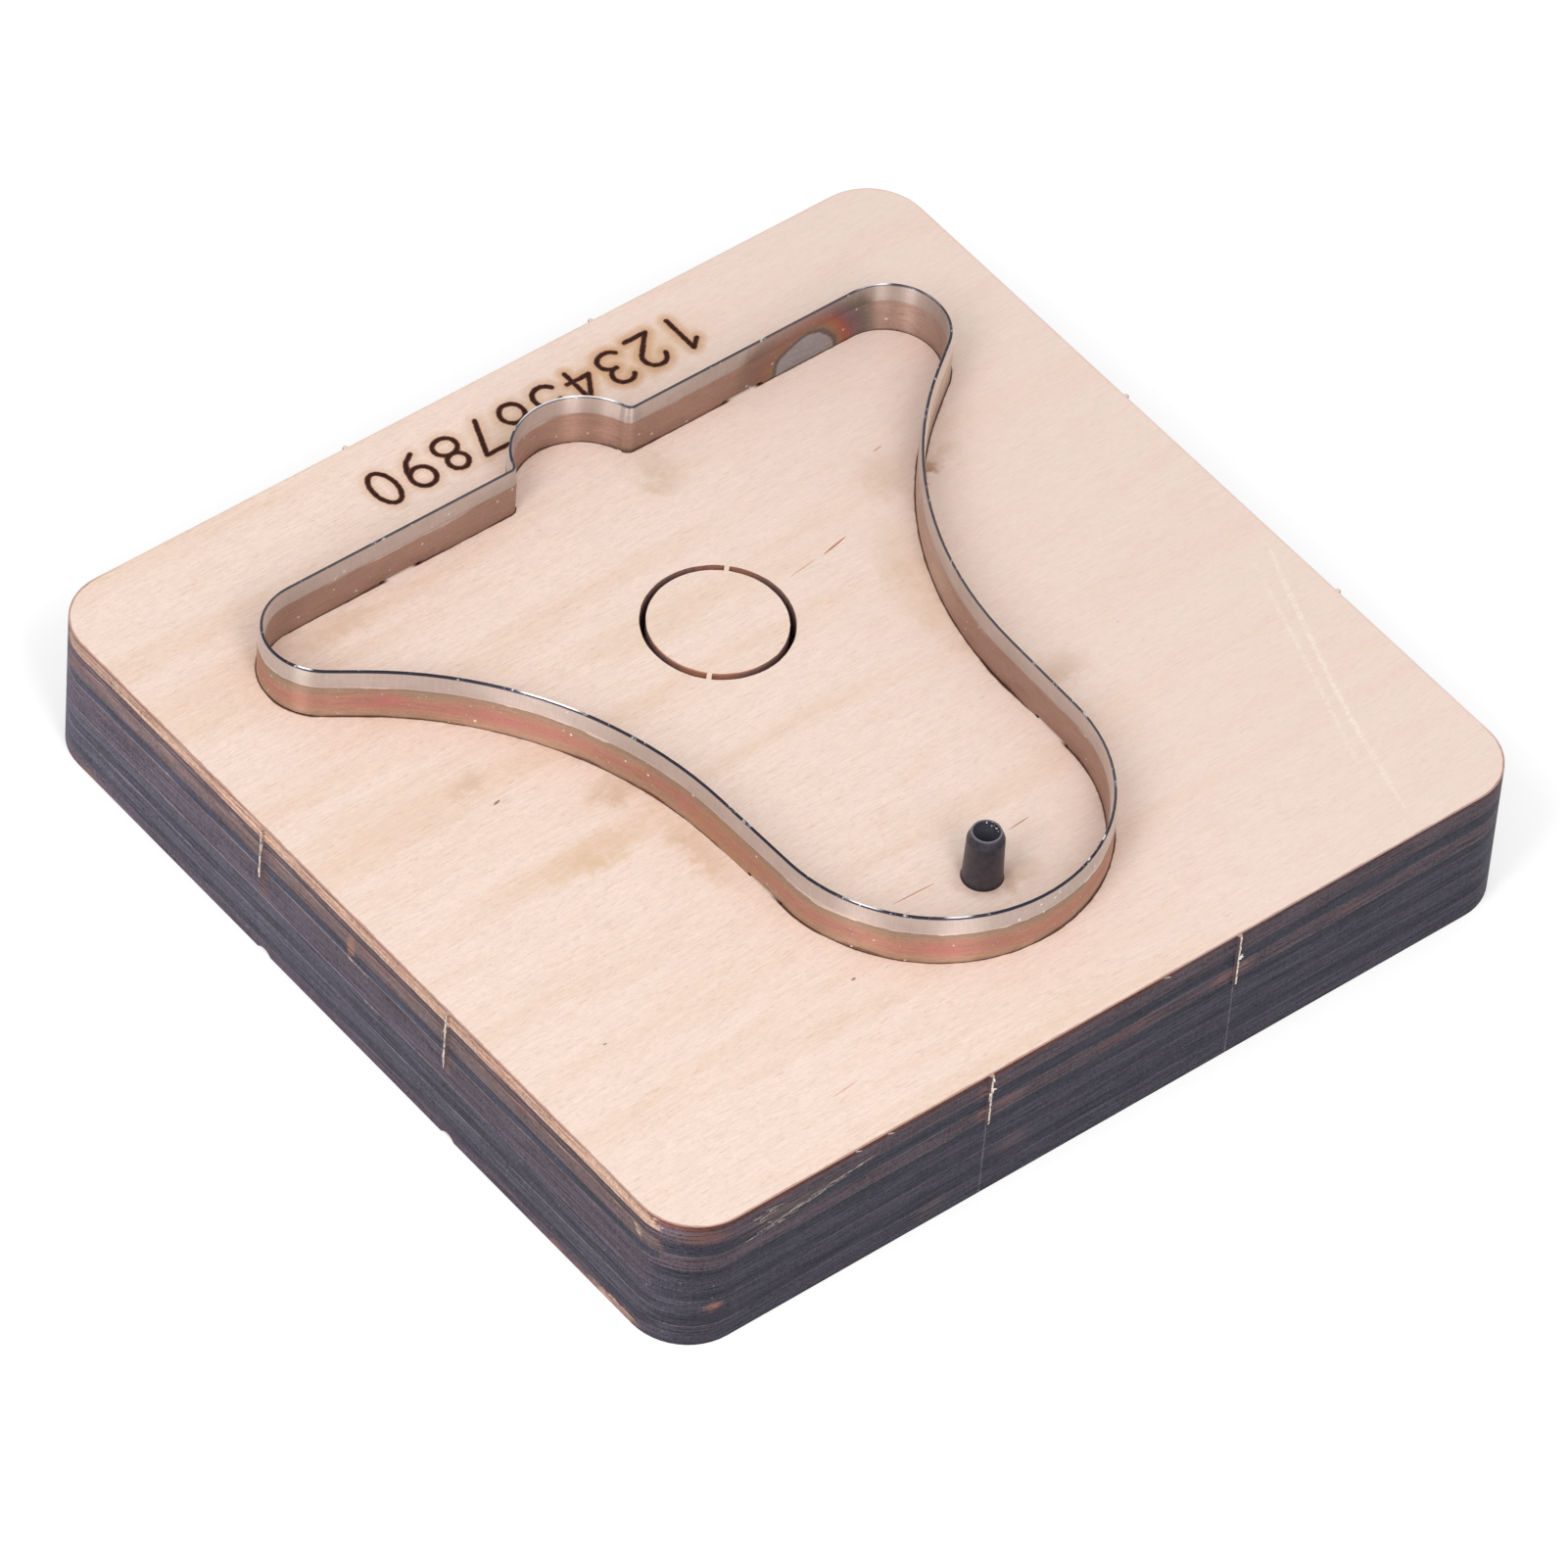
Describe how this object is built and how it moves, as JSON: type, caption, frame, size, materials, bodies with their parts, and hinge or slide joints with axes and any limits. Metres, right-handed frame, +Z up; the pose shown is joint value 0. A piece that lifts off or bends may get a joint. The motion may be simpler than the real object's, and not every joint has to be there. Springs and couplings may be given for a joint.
{
  "type": "steel rule die",
  "caption": "Cutting die: a plywood board with rounded corners carries a bevelled steel rule bent into a closed bell outline, with a small tubular punch inside it.",
  "frame": {"origin": "centre of the board's underside", "axes": "+Z up from the board towards the cutting edge, +X along the longer side of the board, +Y towards the bump of the cut shape"},
  "size_m": [0.1086, 0.1046, 0.024],
  "materials": {
    "plywood": "sanded pale veneer, laser-charred edges",
    "rule_steel": "tempered brown steel with a bright ground bevel",
    "blackened_steel": "satin black oxide"
  },
  "bodies": {
    "root": {"die_board": "plywood", "cutting_rule": "rule_steel", "hole_punch": "blackened_steel"}
  },
  "joints": []
}
